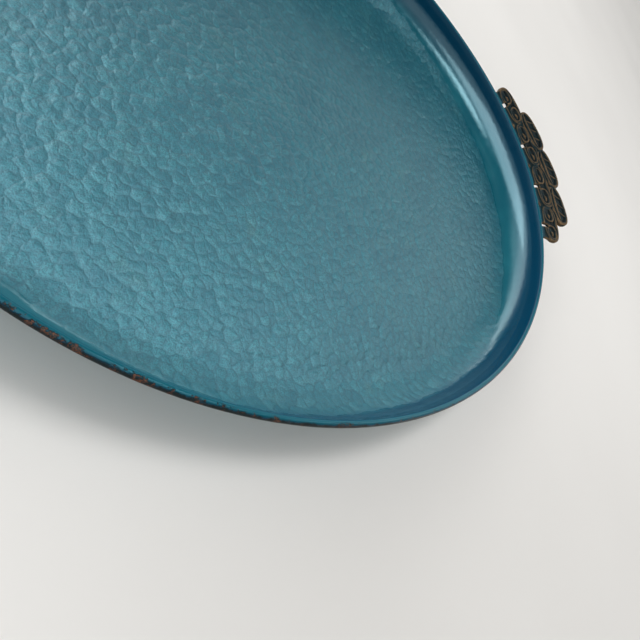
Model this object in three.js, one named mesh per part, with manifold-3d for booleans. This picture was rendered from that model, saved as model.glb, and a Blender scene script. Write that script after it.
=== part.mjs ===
// An oval serving tray: a pressed sheet with its edge rolled over a wire, and an openwork leaf
// casting brazed to the outside of the wall at each end. Millimetres, +Z up. The origin is the
// centre of the underside, X runs along the long axis and Y along the short one.
import * as THREE from 'three';
import { mergeVertices } from 'three/addons/utils/BufferGeometryUtils.js';
import Module from 'manifold-3d';

const wasm = await Module();
wasm.setup();

// ---- Tray ----
const RIM_HALF_LENGTH = 230;
const RIM_HALF_WIDTH = 172.5;
const TRAY_DEPTH = 30;
const SHEET = 0.8;
const COVE_RADIUS = 24;
const WALL_FLARE = THREE.MathUtils.degToRad(7.2);
const BEAD_RADIUS = 1.7;
const WIRE_RADIUS = 0.6;
const ROLL_END = THREE.MathUtils.degToRad(-115);
const RIM_SEGMENTS = 72;
const COVE_STEPS = 5;
const ROLL_STEPS = 8;
const WIRE_SIDES = 8;

// ---- Handle casting: lengths run along the rim, widths outwards from the bead's centre ----
const LEAFLET_PITCH = 18.7;
const LEAFLETS = 8;
const HANDLE_TILT = THREE.MathUtils.degToRad(16);
const TAB_START = BEAD_RADIUS + 0.7;
const PLATE_DROP = 1.2;
const PLATE_BELOW = 1.5;
const PLATE_ABOVE = 1.5;
const TAB_BELOW = 1.3;
const TAB_ABOVE = 0.9;
const LEAF_BEVEL = 0.5;
const POCKET_DEPTH = 1.1;
const INNER_LEAF = { out: 13.8, halfWidth: 8.2, halfLength: 19.4, lean: THREE.MathUtils.degToRad(4) };
const END_TRIM = 6;
const POCKET = { out: 13.8, halfWidth: 4.8, halfLength: 6.9 };
const OUTER_LEAF = { halfLength: 16.6, halfWidth: 8.2, lean: THREE.MathUtils.degToRad(8) };
const OUTER_LEAVES = [{ along: -28.5, out: 25.5 }, { along: 2.7, out: 28 }, { along: 34, out: 27.5 }];
const OUTER_RAISE = 0.8;
const LEAF_EDGE = 2.4;
const MIDRIB = { width: 1.8, below: 0.3 };
const LEAF_SIDES = 20;
const POCKET_SIDES = 12;
const CURVE_STEPS = 3;
const NOTCH = { width: 3.2, betweenLeaves: 6, withinLeaf: 12 };
const FOOT_ARC = { from: THREE.MathUtils.degToRad(-20), to: THREE.MathUtils.degToRad(-100) };
const FOOT = { length: 7, top: 3, bottom: 8, toe: 0.6, reach: 7 };
const BRAZE = { leg: 2.6, height: 2.6, hollow: 0.6 };
const CLEARANCE = 0.35;
const STRIP_STEP = 5;
const CUT_PAST = 3;

const FLOOR_TOP = SHEET;
const RIM_TOP = FLOOR_TOP + TRAY_DEPTH;
const BEAD_HEIGHT = RIM_TOP - BEAD_RADIUS;

const SHELL_GLAZE = new THREE.MeshStandardMaterial({ color: 0x2f7c8f, roughness: 0.25 });
const WIRE_STEEL = new THREE.MeshStandardMaterial({ color: 0x8a8c8c, roughness: 0.4, metalness: 1 });
const CAST_BRONZE = new THREE.MeshStandardMaterial({ color: 0x4a3626, roughness: 0.45, metalness: 0.7 });
const BRAZE_METAL = new THREE.MeshStandardMaterial({ color: 0x1d4a52, roughness: 0.35, metalness: 0.3 });

// The rim is an ellipse. A place near it is an angle around it and a distance outwards from it.
function rimPlace(angle, outward) {
  const point = new THREE.Vector2(RIM_HALF_LENGTH * Math.cos(angle), RIM_HALF_WIDTH * Math.sin(angle));
  const normal = new THREE.Vector2(RIM_HALF_WIDTH * Math.cos(angle), RIM_HALF_LENGTH * Math.sin(angle));
  return point.addScaledVector(normal.normalize(), outward);
}

// Moves every vertex of a geometry through a function of its position.
function reshape(geometry, move) {
  const position = geometry.attributes.position;
  const vertex = new THREE.Vector3();
  for (let i = 0; i < position.count; i += 1) {
    vertex.fromBufferAttribute(position, i);
    move(vertex);
    position.setXYZ(i, vertex.x, vertex.y, vertex.z);
  }
  return geometry;
}

// Merges shared vertices and drops the triangles that a pole or a seam leaves without area.
function weld(geometry) {
  const bare = geometry.index ? geometry.toNonIndexed() : geometry.clone();
  bare.deleteAttribute('normal');
  bare.deleteAttribute('uv');
  const merged = mergeVertices(bare, 1e-4);
  const index = merged.index.array;
  const kept = [];
  for (let i = 0; i < index.length; i += 3) {
    const [a, b, c] = [index[i], index[i + 1], index[i + 2]];
    if (a !== b && b !== c && c !== a) {
      kept.push(a, b, c);
    }
  }
  merged.setIndex(kept);
  return merged;
}

function toSolid(geometry) {
  const welded = weld(geometry);
  const vertProperties = new Float32Array(welded.attributes.position.array);
  const triVerts = new Uint32Array(welded.index.array);
  return new wasm.Manifold(new wasm.Mesh({ numProp: 3, vertProperties, triVerts }));
}

function toGeometry(solid) {
  const { vertProperties, triVerts } = solid.getMesh();
  const geometry = new THREE.BufferGeometry();
  geometry.setAttribute('position', new THREE.BufferAttribute(new Float32Array(vertProperties), 3));
  geometry.setIndex(Array.from(triVerts));
  return geometry;
}

function namedMesh(name, geometry, material) {
  geometry.computeVertexNormals();
  const mesh = new THREE.Mesh(geometry, material);
  mesh.name = name;
  return mesh;
}

// Points of a circular arc in the tray's section, from one angle to another.
function arc(centre, radius, from, to, steps) {
  const points = [];
  for (let i = 0; i <= steps; i += 1) {
    const angle = from + ((to - from) * i) / steps;
    points.push(new THREE.Vector2(centre.x + radius * Math.cos(angle), centre.y + radius * Math.sin(angle)));
  }
  return points;
}

// ---- The section of the tray: x is the distance outwards from the bead's centre, y the height ----
const BEAD_CENTRE = new THREE.Vector2(0, BEAD_HEIGHT);
const WALL_TOP_ANGLE = Math.PI - WALL_FLARE;
const WALL_TOP = new THREE.Vector2(
  BEAD_RADIUS * Math.cos(WALL_TOP_ANGLE),
  BEAD_HEIGHT + BEAD_RADIUS * Math.sin(WALL_TOP_ANGLE),
);
const COVE_HEIGHT = FLOOR_TOP + COVE_RADIUS;
const WALL_FOOT_HEIGHT = COVE_HEIGHT - COVE_RADIUS * Math.sin(WALL_FLARE);
const WALL_RUN = (WALL_TOP.y - WALL_FOOT_HEIGHT) * Math.tan(WALL_FLARE);
const COVE_CENTRE = new THREE.Vector2(
  WALL_TOP.x - WALL_RUN - COVE_RADIUS * Math.cos(WALL_FLARE),
  COVE_HEIGHT,
);
const FLOOR_EDGE = COVE_CENTRE.x;

// How far out the wall's outer face is at a height.
function wallOuterFace(height) {
  return WALL_TOP.x + SHEET / Math.cos(WALL_FLARE) - (WALL_TOP.y - height) * Math.tan(WALL_FLARE);
}

// Bends a round lathe whose rim radius is RIM_HALF_LENGTH into the oval: the wall keeps its section
// square to the rim, and the floor inside it shrinks evenly to the centre.
function makeOval(vertex) {
  const angle = Math.atan2(vertex.y, vertex.x);
  const outward = Math.hypot(vertex.x, vertex.y) - RIM_HALF_LENGTH;
  const place = rimPlace(angle, Math.max(outward, FLOOR_EDGE));
  const shrink = Math.min(1, (outward + RIM_HALF_LENGTH) / (FLOOR_EDGE + RIM_HALF_LENGTH));
  vertex.set(place.x * shrink, place.y * shrink, vertex.z);
}

function ovalLathe(section) {
  const points = section.map((point) => new THREE.Vector2(point.x + RIM_HALF_LENGTH, point.y));
  const geometry = new THREE.LatheGeometry(points, RIM_SEGMENTS).rotateX(Math.PI / 2);
  return weld(reshape(geometry, makeOval));
}

function trayShell() {
  const coveEnd = -WALL_FLARE;
  const inside = [
    new THREE.Vector2(-RIM_HALF_LENGTH, FLOOR_TOP),
    ...arc(COVE_CENTRE, COVE_RADIUS, -Math.PI / 2, coveEnd, COVE_STEPS),
  ];
  const rollOutside = arc(BEAD_CENTRE, BEAD_RADIUS, WALL_TOP_ANGLE, ROLL_END, ROLL_STEPS);
  const rollInside = arc(BEAD_CENTRE, BEAD_RADIUS - SHEET, ROLL_END, WALL_TOP_ANGLE, ROLL_STEPS);
  const underside = [
    ...arc(COVE_CENTRE, COVE_RADIUS + SHEET, coveEnd, -Math.PI / 2, COVE_STEPS),
    new THREE.Vector2(-RIM_HALF_LENGTH, 0),
  ];
  const section = [...inside, ...rollOutside, ...rollInside, ...underside];
  return namedMesh('tray_shell', ovalLathe(section.reverse()), SHELL_GLAZE);
}

function rimWire() {
  const section = arc(BEAD_CENTRE, WIRE_RADIUS, 0, 2 * Math.PI, WIRE_SIDES);
  return namedMesh('rim_wire', ovalLathe(section), WIRE_STEEL);
}

// ---- Handle: drawn flat (x along the rim, y outwards, z up from the plate's middle), then bent
// to the rim and tilted up ----
const TILT_RISE = Math.tan(HANDLE_TILT);
const PLATE_MIDDLE = BEAD_HEIGHT - PLATE_DROP;

function bendToRim(vertex) {
  const place = rimPlace(-vertex.x / RIM_HALF_WIDTH, vertex.y);
  const rise = TILT_RISE * Math.max(0, vertex.y - TAB_START);
  vertex.set(place.x, place.y, PLATE_MIDDLE + vertex.z + rise);
}

// An oval with fuller corners than an ellipse, leaning outwards along the rim by an angle.
function ovalOutline({ along, out, halfLength, halfWidth, lean = 0 }, sides) {
  const fullness = 2 / 2.7;
  const points = [];
  for (let i = 0; i < sides; i += 1) {
    const angle = (2 * Math.PI * i) / sides;
    const [c, s] = [Math.cos(angle), Math.sin(angle)];
    points.push(new THREE.Vector2(
      halfLength * Math.sign(c) * Math.abs(c) ** fullness,
      halfWidth * Math.sign(s) * Math.abs(s) ** fullness,
    ));
  }
  const centre = new THREE.Vector2(0, 0);
  const place = new THREE.Vector2(along, out);
  return new THREE.Shape(points.map((point) => point.rotateAround(centre, lean).add(place)));
}

// A straight strip along the rim, with enough points to follow its curve once bent.
function stripOutline(from, to, near, far) {
  const steps = Math.max(1, Math.round((to - from) / STRIP_STEP));
  const edge = Array.from({ length: steps + 1 }, (_, i) => from + ((to - from) * i) / steps);
  return new THREE.Shape([
    ...edge.map((along) => new THREE.Vector2(along, near)),
    ...edge.reverse().map((along) => new THREE.Vector2(along, far)),
  ]);
}

function plate(outline, bottom, top, bevel) {
  const options = {
    depth: top - bottom - 2 * bevel,
    bevelEnabled: bevel > 0,
    bevelThickness: bevel,
    bevelSize: bevel,
    bevelOffset: -bevel,
    bevelSegments: 1,
  };
  const geometry = new THREE.ExtrudeGeometry(outline, options);
  return toSolid(geometry.translate(0, 0, bottom + bevel));
}

// The middles of things that repeat along the handle, evenly about its centre.
function spread(count, pitch) {
  return Array.from({ length: count }, (_, i) => (i - (count - 1) / 2) * pitch);
}

// A section in the (outwards, up) plane, carried along the rim and centred on one place.
function alongRim(section, middle, length) {
  const options = { depth: length, bevelEnabled: false, curveSegments: CURVE_STEPS };
  const geometry = new THREE.ExtrudeGeometry(section, options);
  return reshape(geometry, (vertex) => {
    vertex.set(vertex.z - length / 2 + middle, vertex.x, vertex.y);
  });
}

// The wall's outer face and a clearance, at a height from the bead's centre.
function besideWall(height) {
  return wallOuterFace(BEAD_HEIGHT + height) + CLEARANCE;
}

// A foot runs from under the plate, round the bead and down the outside of the wall.
function footSection() {
  const section = new THREE.Shape();
  section.moveTo(besideWall(-FOOT.bottom), PLATE_DROP - FOOT.bottom);
  section.lineTo(FOOT.toe, PLATE_DROP - FOOT.bottom);
  section.lineTo(FOOT.reach, PLATE_DROP - PLATE_BELOW);
  section.lineTo(FOOT.reach, 0);
  section.lineTo(TAB_START, 0);
  section.absarc(0, PLATE_DROP, BEAD_RADIUS + CLEARANCE, FOOT_ARC.from, FOOT_ARC.to, true);
  section.lineTo(besideWall(-FOOT.top), PLATE_DROP - FOOT.top);
  return section;
}

// An inner leaf reaches over two leaflets. The ones at the ends are trimmed a little.
function innerLeaf(along) {
  const atEnd = Math.abs(along) > 2 * LEAFLET_PITCH;
  const trim = atEnd ? END_TRIM / 2 : 0;
  const leaf = {
    ...INNER_LEAF,
    along: along - trim * Math.sign(along),
    halfLength: INNER_LEAF.halfLength - trim,
  };
  return plate(ovalOutline(leaf, LEAF_SIDES), -PLATE_BELOW, PLATE_ABOVE, LEAF_BEVEL);
}

// An outer leaf: a raised edge round a hollow, with a midrib down the middle.
function outerLeaf(place) {
  const top = PLATE_ABOVE + OUTER_RAISE;
  const leaf = { ...OUTER_LEAF, ...place };
  const hollow = {
    ...leaf,
    halfLength: leaf.halfLength - LEAF_EDGE,
    halfWidth: leaf.halfWidth - LEAF_EDGE,
  };
  const midrib = { ...leaf, halfLength: leaf.halfLength - LEAF_EDGE / 2, halfWidth: MIDRIB.width / 2 };
  return plate(ovalOutline(leaf, LEAF_SIDES), -PLATE_BELOW, top, LEAF_BEVEL)
    .subtract(plate(ovalOutline(hollow, POCKET_SIDES), top - POCKET_DEPTH, top + CUT_PAST, 0))
    .add(plate(ovalOutline(midrib, POCKET_SIDES), 0, top - MIDRIB.below, 0));
}

// The flat casting: tabs and feet at the rim, then the inner leaves, then the outer ones.
function handleCasting() {
  const tabHalf = (LEAFLET_PITCH - NOTCH.width) / 2;
  const end = (LEAFLETS * LEAFLET_PITCH) / 2 - END_TRIM;
  const parts = [];
  for (const along of spread(LEAFLETS, LEAFLET_PITCH)) {
    const from = Math.max(along - tabHalf, -end);
    const to = Math.min(along + tabHalf, end);
    const tab = stripOutline(from, to, TAB_START, INNER_LEAF.out);
    parts.push(plate(tab, -TAB_BELOW, TAB_ABOVE, 0));
    parts.push(toSolid(alongRim(footSection(), along, FOOT.length)));
  }
  for (const along of spread(LEAFLETS / 2, 2 * LEAFLET_PITCH)) {
    parts.push(innerLeaf(along));
  }
  let casting = parts.reduce((joined, part) => joined.add(part));
  for (const along of spread(LEAFLETS, LEAFLET_PITCH)) {
    const hollow = ovalOutline({ ...POCKET, along }, POCKET_SIDES);
    casting = casting.subtract(plate(hollow, PLATE_ABOVE - POCKET_DEPTH, PLATE_ABOVE + CUT_PAST, 0));
  }
  for (const place of OUTER_LEAVES) {
    casting = casting.add(outerLeaf(place));
  }
  spread(LEAFLETS - 1, LEAFLET_PITCH).forEach((along, i) => {
    const depth = i % 2 === 0 ? NOTCH.withinLeaf : NOTCH.betweenLeaves;
    const slot = stripOutline(along - NOTCH.width / 2, along + NOTCH.width / 2, 0, depth);
    casting = casting.subtract(plate(slot, -PLATE_BELOW - CUT_PAST, PLATE_ABOVE + CUT_PAST, 0));
  });
  return casting;
}

// The run of braze in the corner between the wall and the underside of a foot.
function brazeSection() {
  const top = -FOOT.bottom - CLEARANCE;
  const bottom = top - BRAZE.height;
  const corner = new THREE.Vector2(besideWall(bottom) + BRAZE.hollow, PLATE_DROP + top - BRAZE.hollow);
  const section = new THREE.Shape();
  section.moveTo(besideWall(bottom), PLATE_DROP + bottom);
  section.quadraticCurveTo(corner.x, corner.y, besideWall(top) + BRAZE.leg, PLATE_DROP + top);
  section.lineTo(besideWall(top), PLATE_DROP + top);
  return section;
}

// A handle and its runs of braze, built at the +X end and turned half round for the other one.
function handleSet(side, turn) {
  const set = new THREE.Group();
  const casting = reshape(toGeometry(handleCasting()), bendToRim);
  set.add(namedMesh(`handle_${side}`, casting, CAST_BRONZE));
  spread(LEAFLETS, LEAFLET_PITCH).forEach((middle, i) => {
    const fillet = reshape(alongRim(brazeSection(), middle, FOOT.length), bendToRim);
    set.add(namedMesh(`braze_${side}_${i + 1}`, weld(fillet), BRAZE_METAL));
  });
  set.rotation.z = turn;
  return set;
}

const tray = new THREE.Group();
tray.add(trayShell());
tray.add(rimWire());
tray.add(handleSet('right', 0));
tray.add(handleSet('left', Math.PI));

export default tray;
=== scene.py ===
"""A handled oval tray: hammered sheet metal under a glossy teal glaze, with openwork leaf castings.

Meshes are worked out in millimetres, as in the CAD part, and become metres as each object is made.
Materials, camera and lights are in metres.
"""
import math

import bpy
import numpy as np
from mathutils import Matrix, Vector, noise


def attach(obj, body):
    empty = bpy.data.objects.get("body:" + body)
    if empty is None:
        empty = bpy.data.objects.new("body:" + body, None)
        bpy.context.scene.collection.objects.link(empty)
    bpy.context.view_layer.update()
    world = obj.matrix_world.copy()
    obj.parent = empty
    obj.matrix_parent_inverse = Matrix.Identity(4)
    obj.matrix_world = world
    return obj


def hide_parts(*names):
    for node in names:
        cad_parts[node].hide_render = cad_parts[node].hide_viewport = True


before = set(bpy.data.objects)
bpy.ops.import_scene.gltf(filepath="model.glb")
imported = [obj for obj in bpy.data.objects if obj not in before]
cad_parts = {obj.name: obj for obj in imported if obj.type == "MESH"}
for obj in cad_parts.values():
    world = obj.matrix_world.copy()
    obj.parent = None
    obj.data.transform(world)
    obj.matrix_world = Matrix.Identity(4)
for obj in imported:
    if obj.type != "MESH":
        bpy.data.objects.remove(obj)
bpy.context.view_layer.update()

MM = 0.001
SEED = 20

# ---- The tray's section, as in the CAD part ----
RIM_HALF_LENGTH = 230.0
RIM_HALF_WIDTH = 172.5
TRAY_DEPTH = 30.0
SHEET = 0.8
COVE_RADIUS = 24.0
WALL_FLARE = math.radians(7.2)
BEAD_RADIUS = 1.7
WIRE_RADIUS = 0.6
ROLL_END = math.radians(-115)
FLOOR_TOP = SHEET
BEAD_HEIGHT = FLOOR_TOP + TRAY_DEPTH - BEAD_RADIUS
WALL_TOP_ANGLE = math.pi - WALL_FLARE
WALL_TOP = (BEAD_RADIUS * math.cos(WALL_TOP_ANGLE), BEAD_HEIGHT + BEAD_RADIUS * math.sin(WALL_TOP_ANGLE))
COVE_HEIGHT = FLOOR_TOP + COVE_RADIUS
WALL_FOOT_HEIGHT = COVE_HEIGHT - COVE_RADIUS * math.sin(WALL_FLARE)
WALL_RUN = (WALL_TOP[1] - WALL_FOOT_HEIGHT) * math.tan(WALL_FLARE)
FLOOR_EDGE = WALL_TOP[0] - WALL_RUN - COVE_RADIUS * math.cos(WALL_FLARE)

# ---- How finely the shell and the wire are divided; the section's rows are counted from the floor ----
FLOOR_CELLS = 240
UNDERSIDE_CELLS = FLOOR_CELLS // 4
UNDERSIDE_SHRINK = 0.985
COVE_STEPS = 17
WALL_STEPS = 2
ROLL_STEPS = 10
HIDDEN_STEPS = 4
ROLL_START = COVE_STEPS + WALL_STEPS
UNDER_START = ROLL_START + ROLL_STEPS
WIRE_STEPS = 480
WIRE_SIDES = 10

# ---- Hammer marks: their size, the uneven line up the cove where they end, and the floor's slow waves ----
MARK_PITCH = 5.0
MARK_SPREAD = 0.95
MARK_BEND = 0.55
MARK_HEIGHT = 0.44
MARK_LEVEL = 0.72
MARKS_END = -11.7
MARKS_END_SWING = 8.3
MARKS_END_MOST = -6.0
MARKS_END_UNEVEN = 1.3
MARKS_END_NOISE = 11.0
MARKS_FADE = 2.4
WAVE_HEIGHT = 0.12
WAVE_LENGTH = 46.0

# ---- The more chipped stretch of rim, in degrees round the tray ----
CHIPPED_MIDDLE = -122.0
CHIPPED_REACH = 38.0
CHIPPED_LEAST = 0.38

# ---- The handle casting, as in the CAD part: x runs along the rim, y outwards, z up ----
LEAFLET_PITCH = 18.7
LEAFLETS = 8
HANDLE_TILT = math.radians(16)
TAB_START = BEAD_RADIUS + 0.7
TAB_END = 14.0
PLATE_DROP = 1.2
PLATE_BELOW = 1.5
PLATE_ABOVE = 1.5
END_TRIM = 6.0
INNER_LEAF = {"out": 13.8, "half_length": 19.4, "half_width": 8.2, "lean": math.radians(4)}
OUTER_LEAF = {"half_length": 16.6, "half_width": 8.2, "lean": math.radians(8)}
OUTER_LEAVES = ((-28.5, 25.5), (2.7, 28.0), (34.0, 27.5))
OUTER_RAISE = 0.8

# ---- The casting's raised pattern ----
OVAL_POWER = 2.7
PAD_RINGS = (1.0, 0.96, 0.88, 0.76, 0.6, 0.4, 0.2)
INNER_BORDER = {"inset": 1.2, "radius": 1.0, "height": 0.75}
OUTER_BORDER = {"inset": 1.3, "radius": 1.25}
POD = {"half_length": 6.9, "half_width": 4.6, "stagger": 0.6, "ring_radius": 0.8, "ring_height": 1.0}
SEED_RADIUS = 1.25
SEED_HEIGHT = 0.75
RIB_RADIUS = 1.15
VEIN_RADIUS = 0.68
VEIN_STARTS = (-0.62, -0.18, 0.26)

# ---- The casting's tabs, notches, feet and braze ----
TAB_CORNER = 1.6
NOTCH_WIDTH = 3.2
NOTCH_BETWEEN_LEAVES = 6.0
NOTCH_WITHIN_LEAF = 12.0
NOTCH_START = -1.0
NOTCH_CUT = (-4.0, 5.0)
FOOT = {"length": 7.0, "top": 3.0, "bottom": 8.0, "toe": 0.6, "reach": 7.0, "crown": 0.4}
FOOT_ARC = (math.radians(-20), math.radians(-100))
BRAZE = {"leg": 2.6, "height": 2.6, "hollow": 0.6}
CLEARANCE = 0.35
CAST_VOXEL = 0.45


# ---------------------------------------------------------------- meshes

def rim_place(angle, outward):
    """Points a distance outwards from the rim's ellipse, at angles round it."""
    point = np.stack([RIM_HALF_LENGTH * np.cos(angle), RIM_HALF_WIDTH * np.sin(angle)], -1)
    normal = np.stack([RIM_HALF_WIDTH * np.cos(angle), RIM_HALF_LENGTH * np.sin(angle)], -1)
    normal /= np.linalg.norm(normal, axis=-1, keepdims=True)
    return point + normal * np.asarray(outward)[..., None]


def arc(centre, radius, start, end, steps):
    """Points of a circular arc, both ends included."""
    angle = np.linspace(start, end, steps + 1)
    return np.stack([centre[0] + radius * np.cos(angle), centre[1] + radius * np.sin(angle)], -1)


def line(start, end, steps):
    """Points of a straight line, both ends included."""
    return np.linspace(start, end, steps + 1)


def smoothstep(low, high, value):
    """0 below low and 1 above high, with a soft change between them."""
    t = np.clip((value - low) / (high - low), 0, 1)
    return t * t * (3 - 2 * t)


def make_object(name, vertices, faces, material, attributes=None):
    """A smooth-shaded mesh object from vertices in millimetres, with point attributes for its shader."""
    mesh = bpy.data.meshes.new(name)
    mesh.from_pydata((np.asarray(vertices) * MM).tolist(), [], faces)
    mesh.polygons.foreach_set("use_smooth", [True] * len(mesh.polygons))
    for key, values in (attributes or {}).items():
        layer = mesh.attributes.new(key, "FLOAT", "POINT")
        layer.data.foreach_set("value", np.asarray(values, dtype=np.float32))
    mesh.materials.append(material)
    mesh.update()
    made = bpy.data.objects.new(name, mesh)
    bpy.context.scene.collection.objects.link(made)
    return made


def disc_grid(cells):
    """A square grid bent into a unit disc: angle and radius of each point, quads, and the outer loop."""
    steps = np.linspace(-1, 1, cells + 1)
    u, v = np.meshgrid(steps, steps, indexing="ij")
    wide = np.abs(u) >= np.abs(v)
    along = np.where(wide, u, v)
    across = np.where(wide, v, u)
    ratio = across / np.where(along == 0, 1, along)
    angle = np.where(wide, ratio * math.pi / 4, math.pi / 2 - ratio * math.pi / 4)
    angle = angle + np.where(along < 0, math.pi, 0)
    index = np.arange((cells + 1) ** 2).reshape(cells + 1, cells + 1)
    corners = (index[:-1, :-1], index[1:, :-1], index[1:, 1:], index[:-1, 1:])
    quads = np.stack([corner.ravel() for corner in corners], -1)
    loop = np.concatenate([index[-1, :-1], index[:0:-1, -1], index[0, :0:-1], index[:-1, 0]])
    return angle.ravel(), np.abs(along).ravel(), quads, loop


def strip(first, second):
    """Quads between two closed loops of the same length."""
    pairs = zip(first, np.roll(first, -1), second, np.roll(second, -1))
    return [(a, c, d, b) for a, b, c, d in pairs]


def hammered_height(points):
    """Height of the hammered surface (about 0 to 1) at each point, from the same nodes as the shader's."""
    mesh = bpy.data.meshes.new("hammer_probe")
    mesh.from_pydata(np.column_stack([points * MM, np.zeros(len(points))]).tolist(), [], [])
    probe = bpy.data.objects.new("hammer_probe", mesh)
    bpy.context.scene.collection.objects.link(probe)
    tree = bpy.data.node_groups.new("hammer_probe", "GeometryNodeTree")
    tree.interface.new_socket("Geometry", in_out="INPUT", socket_type="NodeSocketGeometry")
    tree.interface.new_socket("Geometry", in_out="OUTPUT", socket_type="NodeSocketGeometry")
    store = tree.nodes.new("GeometryNodeStoreNamedAttribute")
    store.inputs["Name"].default_value = "height"
    tree.links.new(tree.nodes.new("NodeGroupInput").outputs[0], store.inputs["Geometry"])
    tree.links.new(hammer_field(tree, tree.nodes.new("GeometryNodeInputPosition").outputs[0])["height"],
                   store.inputs["Value"])
    tree.links.new(store.outputs["Geometry"], tree.nodes.new("NodeGroupOutput").inputs[0])
    probe.modifiers.new("field", "NODES").node_group = tree
    graph = bpy.context.evaluated_depsgraph_get()
    height = np.empty(len(points), dtype=np.float32)
    probe.evaluated_get(graph).data.attributes["height"].data.foreach_get("value", height)
    bpy.data.objects.remove(probe)
    bpy.data.meshes.remove(mesh)
    bpy.data.node_groups.remove(tree)
    return height


def wave_height(points):
    """The slow rise and fall that hammering leaves in a floor."""
    return WAVE_HEIGHT * np.array([noise.noise((x / WAVE_LENGTH, y / WAVE_LENGTH, 0.5)) for x, y in points])


def marks_fade(points, outward):
    """1 on the floor and 0 up the cove, with an uneven end to the hammered part, nearer at the sides."""
    uneven = np.array([noise.noise((x / MARKS_END_NOISE, y / MARKS_END_NOISE, 4.5))
                       for x, y in points])
    angle = np.arctan2(points[:, 1] / RIM_HALF_WIDTH, points[:, 0] / RIM_HALF_LENGTH)
    end = np.minimum(MARKS_END - MARKS_END_SWING * np.cos(2 * angle), MARKS_END_MOST)
    end = end + MARKS_END_UNEVEN * uneven
    return 1 - smoothstep(end - MARKS_FADE, end + MARKS_FADE, outward)


class Skin:
    """Vertices with their point attributes, and faces, gathered part by part."""

    def __init__(self):
        self.vertices = []
        self.faces = []
        self.attributes = {"marked": [], "bead": [], "under": []}
        self.total = 0

    def add_points(self, points, **values):
        """Adds points with their attributes (0 if not given), and gives the points' numbers."""
        self.vertices.append(points)
        for key, parts in self.attributes.items():
            parts.append(np.broadcast_to(values.get(key, 0.0), len(points)))
        first = self.total
        self.total += len(points)
        return np.arange(first, self.total)


def shell_section():
    """The shell's section from the floor's edge: cove, wall, roll, and back underneath."""
    bead_centre = (0.0, BEAD_HEIGHT)
    cove_centre = (FLOOR_EDGE, COVE_HEIGHT)
    cove = arc(cove_centre, COVE_RADIUS, -math.pi / 2, -WALL_FLARE, COVE_STEPS)
    wall = line(cove[-1], WALL_TOP, WALL_STEPS)
    roll = arc(bead_centre, BEAD_RADIUS, WALL_TOP_ANGLE, ROLL_END, ROLL_STEPS)
    roll_inside = arc(bead_centre, BEAD_RADIUS - SHEET, ROLL_END, WALL_TOP_ANGLE, HIDDEN_STEPS)
    outer_cove = arc(cove_centre, COVE_RADIUS + SHEET, -WALL_FLARE, -math.pi / 2, HIDDEN_STEPS)
    return np.concatenate([cove[1:], wall[1:], roll[1:], roll_inside, outer_cove])


def shell_floor():
    """The hammered floor: points, quads, the outer loop, its angles and how marked each point is."""
    angle, radius, quads, loop = disc_grid(FLOOR_CELLS)
    flat = rim_place(angle, np.full(len(angle), FLOOR_EDGE)) * radius[:, None]
    marked = marks_fade(flat, FLOOR_EDGE - (1 - radius) * RIM_HALF_WIDTH)
    marks = (hammered_height(flat) - MARK_LEVEL) * MARK_HEIGHT * marked
    waves = wave_height(flat) * smoothstep(1.0, 0.8, radius)
    return np.column_stack([flat, FLOOR_TOP + (marks + waves)]), quads.tolist(), loop, angle[loop], marked


def shell_ring(rim_angle, row, outward, height):
    """One point of the section carried round the tray, and how marked it is: only the cove has marks."""
    flat = rim_place(rim_angle, np.full(len(rim_angle), outward))
    if row >= COVE_STEPS:
        return np.column_stack([flat, np.full(len(rim_angle), height)]), 0.0
    marked = marks_fade(flat, outward)
    push = (hammered_height(flat) - MARK_LEVEL) * MARK_HEIGHT * marked
    inward = (outward - FLOOR_EDGE) / COVE_RADIUS
    rise = push * (COVE_HEIGHT - height) / COVE_RADIUS
    return np.column_stack([rim_place(rim_angle, outward - push * inward), height + rise]), marked


def close_underside(skin, ring):
    """Closes the underside with a coarser grid: each of its edges meets several edges of the ring."""
    angle, radius, quads, loop = disc_grid(UNDERSIDE_CELLS)
    flat = rim_place(angle, np.full(len(angle), FLOOR_EDGE)) * radius[:, None] * UNDERSIDE_SHRINK
    points = skin.add_points(np.column_stack([flat, np.zeros(len(angle))]), marked=1.0, under=1.0)
    skin.faces += points[quads][:, ::-1].tolist()
    inner = points[loop]
    finer = len(ring) // len(inner)
    for i, corner in enumerate(inner):
        edge = [ring[(i * finer + j) % len(ring)] for j in range(finer + 1)]
        skin.faces.append((corner, inner[(i + 1) % len(inner)], edge[-1], *edge[-2::-1]))


def build_shell(material, wall_material):
    """The pressed sheet: hammered floor, smooth cove and wall, and the edge rolled over the wire."""
    skin = Skin()
    floor, skin.faces, previous, rim_angle, marked = shell_floor()
    skin.add_points(floor, marked=marked)
    wall_faces = []
    for row, (outward, height) in enumerate(shell_section()):
        ring, marked = shell_ring(rim_angle, row, outward, height)
        on_roll = ROLL_START <= row < UNDER_START
        turn = (row - ROLL_START + 1) / ROLL_STEPS if on_roll else 0.0
        current = skin.add_points(ring, marked=marked, bead=turn, under=float(row >= UNDER_START))
        if COVE_STEPS <= row < UNDER_START:
            wall_faces += range(len(skin.faces), len(skin.faces) + len(ring))
        skin.faces += strip(previous, current)
        previous = current
    close_underside(skin, previous)
    made = make_object("tray_shell_glazed", np.concatenate(skin.vertices), skin.faces, material,
                       {key: np.concatenate(parts) for key, parts in skin.attributes.items()})
    made.data.materials.append(wall_material)
    for face in wall_faces:
        made.data.polygons[face].material_index = 1
    return made


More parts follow.
